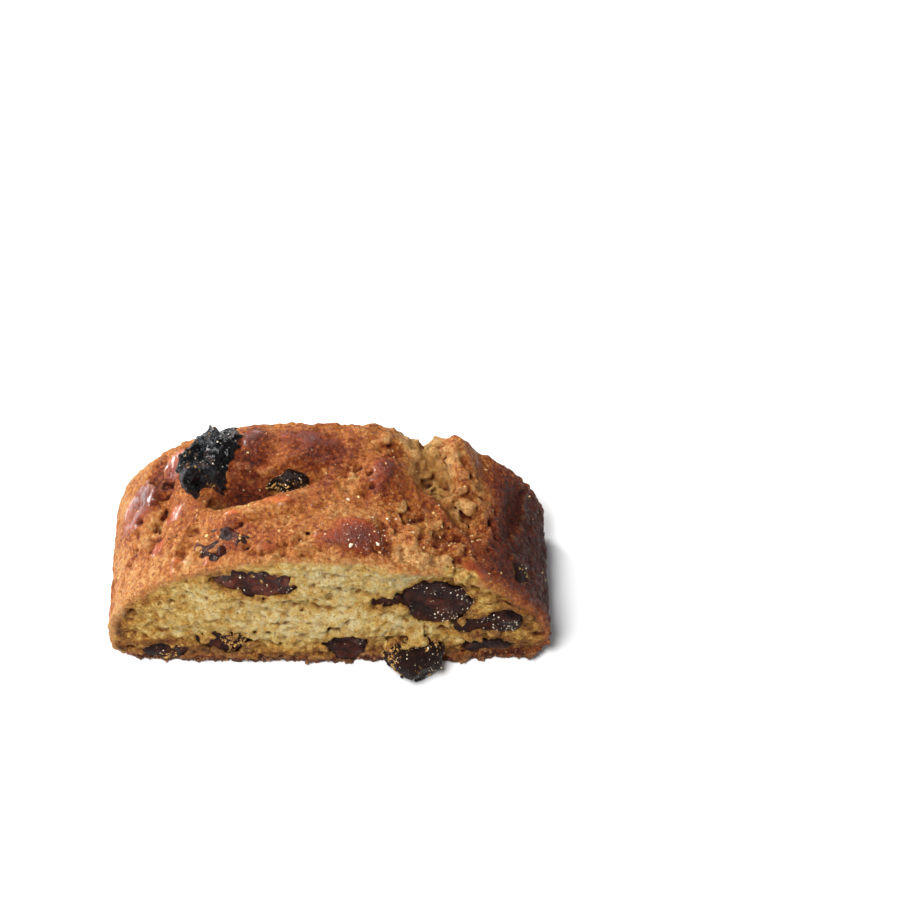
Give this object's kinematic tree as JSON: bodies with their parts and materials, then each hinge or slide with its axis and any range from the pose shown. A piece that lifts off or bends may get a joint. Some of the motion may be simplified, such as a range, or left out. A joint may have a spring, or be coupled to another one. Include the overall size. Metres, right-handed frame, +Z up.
{
  "type": "biscotti",
  "caption": "Thick slice of twice-baked log with raisins, a glazed domed crust and a flat base to lie on.",
  "frame": {"origin": "on the flat base, midway between the two ends and between the two cuts", "axes": "+Z up from the base, +X along the width of the slice, +Y from the front cut to the back cut"},
  "size_m": [0.0891, 0.0424, 0.0355],
  "materials": {
    "crumb": "dry, porous crumb under a baked crust",
    "raisin": "moist and glossy where cut",
    "scorched_raisin": "dry, crumpled and scorched"
  },
  "bodies": {
    "root": {"biscotto": "crumb", "raisin_scorched": "scorched_raisin", "raisin_in_split": "raisin", "raisin_under_crust": "raisin", "raisin_cut_upper": "raisin", "raisin_cut_large": "raisin", "raisin_cut_tail": "raisin", "raisin_cut_right": "raisin", "raisin_base_front": "raisin", "raisin_base_middle": "raisin", "raisin_base_left": "raisin", "raisin_base_corner": "raisin", "raisin_base_right": "raisin", "raisin_right_flank": "raisin", "raisin_back_upper": "raisin", "raisin_back_left": "raisin", "raisin_back_right": "raisin", "raisin_back_base": "raisin"}
  },
  "joints": []
}
